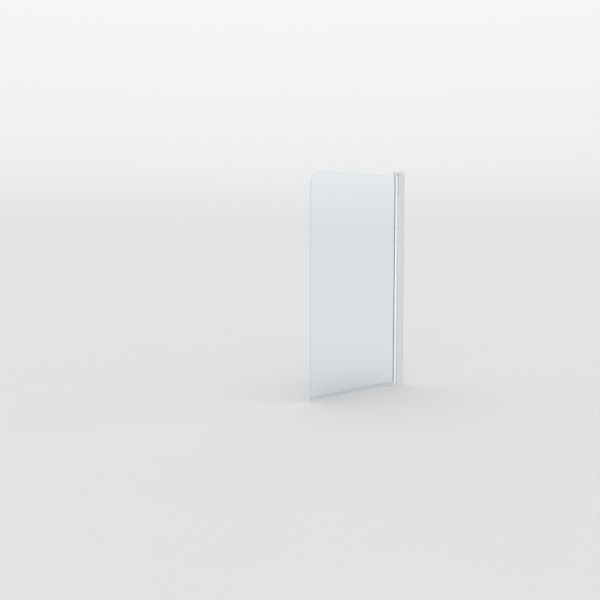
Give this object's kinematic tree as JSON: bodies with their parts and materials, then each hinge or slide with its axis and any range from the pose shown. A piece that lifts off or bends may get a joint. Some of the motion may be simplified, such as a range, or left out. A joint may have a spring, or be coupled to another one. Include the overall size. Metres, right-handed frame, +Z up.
{
  "type": "bath screen",
  "caption": "Hinged bath screen: a clear glass pane with a rounded upper corner turns on a round pivot tube held in a slim white wall profile, and swings over the bath and into the room.",
  "frame": {"origin": "middle of the wall channel's wall face at the bath's rim, where the profile stands", "axes": "+X into the wall, so the glass reaches towards -X; +Y towards the bath; +Z up along the wall channel and the pivot"},
  "size_m": [0.8, 0.0378, 1.4],
  "materials": {
    "white_coat": "satin white powder coat on extruded aluminium",
    "tube_coat": "glossy white coat on extruded aluminium",
    "channel_coat": "satin pale grey coat on extruded aluminium",
    "white_moulding": "moulded white plastic, satin gloss",
    "clear_glass": "polished toughened glass with a faint blue cast",
    "grey_rubber": "matt soft grey",
    "clear_seal": "clear flexible plastic",
    "nylon": "natural nylon",
    "stainless": "plain stainless steel",
    "black_steel": "blackened steel"
  },
  "bodies": {
    "wall_frame": {"wall_channel": "channel_coat", "hinge_profile": "white_coat", "top_cap": "white_moulding", "bottom_cap": "white_moulding", "top_cap_screws": "stainless", "bottom_cap_screws": "stainless", "adjusting_screws": "stainless", "screw_cover_bases": "white_moulding", "screw_cover_caps": "white_moulding", "upper_bush": "nylon", "lower_bush": "nylon", "cradle_seal_strips": "grey_rubber"},
    "glass_leaf": {"glass_panel": "clear_glass", "pivot_tube": "tube_coat", "glazing_gasket": "grey_rubber", "upper_pivot_pin": "stainless", "lower_pivot_pin": "stainless", "pin_lock_screw": "black_steel", "thrust_washer": "stainless", "upper_corner_block": "white_moulding", "lower_corner_block": "white_moulding", "bottom_seal": "clear_seal"}
  },
  "joints": [
    {"name": "leaf_swing", "type": "hinge", "parent": "wall_frame", "child": "glass_leaf", "pos_m": [-0.062, 0, 0.7], "axis": [0, 0, 1], "range_deg": [-90, 90]}
  ]
}
